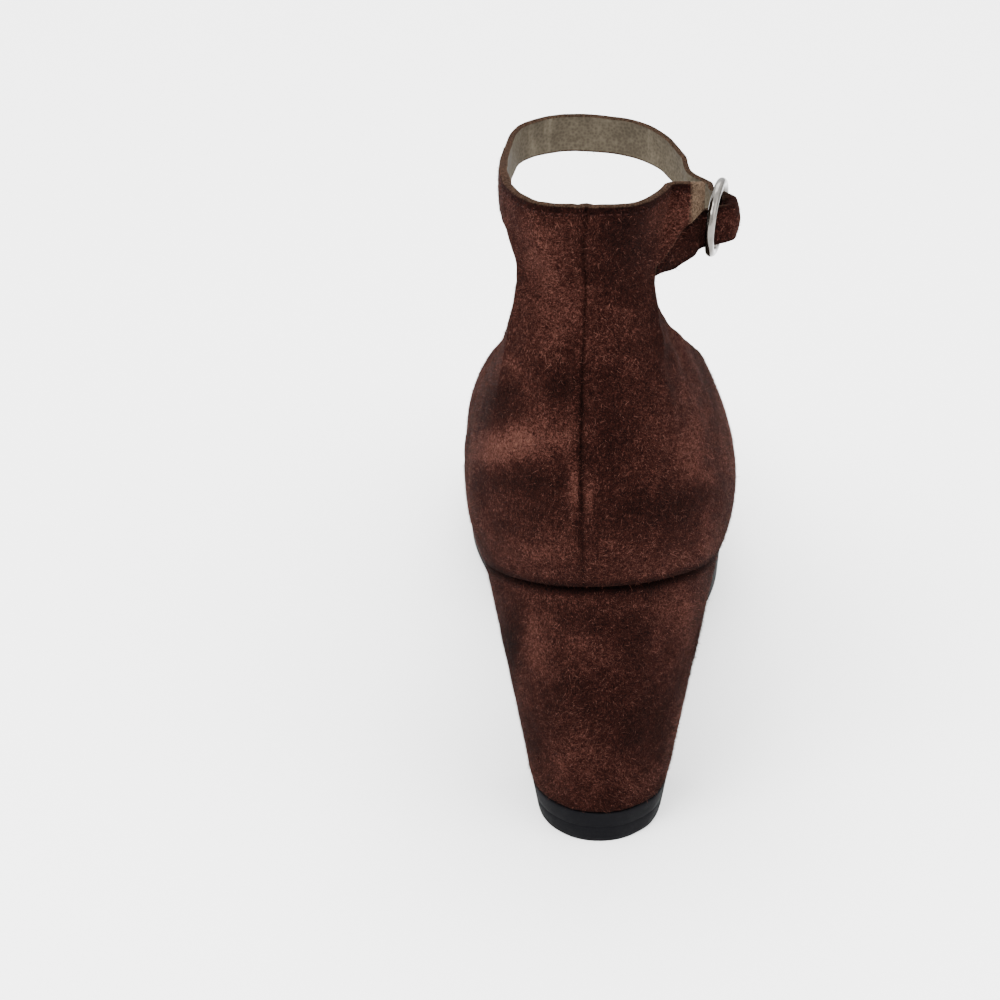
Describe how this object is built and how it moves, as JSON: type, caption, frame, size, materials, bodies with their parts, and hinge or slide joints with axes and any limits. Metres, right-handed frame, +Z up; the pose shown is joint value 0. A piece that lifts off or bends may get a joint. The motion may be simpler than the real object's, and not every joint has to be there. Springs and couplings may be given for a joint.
{
  "type": "platform sandal",
  "caption": "Suede platform sandal for the right foot: closed rounded heel counter, tall back neck, ankle strap threaded through a ring buckle, open toe, block heel and black platform.",
  "frame": {"origin": "middle of the shoe's plan outline, on the floor", "axes": "+X to the outer side of the right foot, +Y from heel to toe, +Z up"},
  "size_m": [0.074, 0.2431, 0.1649],
  "materials": {
    "suede": "dark reddish-brown suede with a matte brushed nap",
    "sock": "taupe smooth lining leather, satin",
    "platform": "black, satin",
    "heel_cover": "dark reddish-brown suede with a matte brushed nap",
    "lift": "black, matte",
    "ring": "polished silver colour"
  },
  "bodies": {
    "root": {"upper": "suede", "insole": "sock", "platform_sole": "platform", "heel_block": "heel_cover", "top_lift": "lift", "buckle": "ring"}
  },
  "joints": []
}
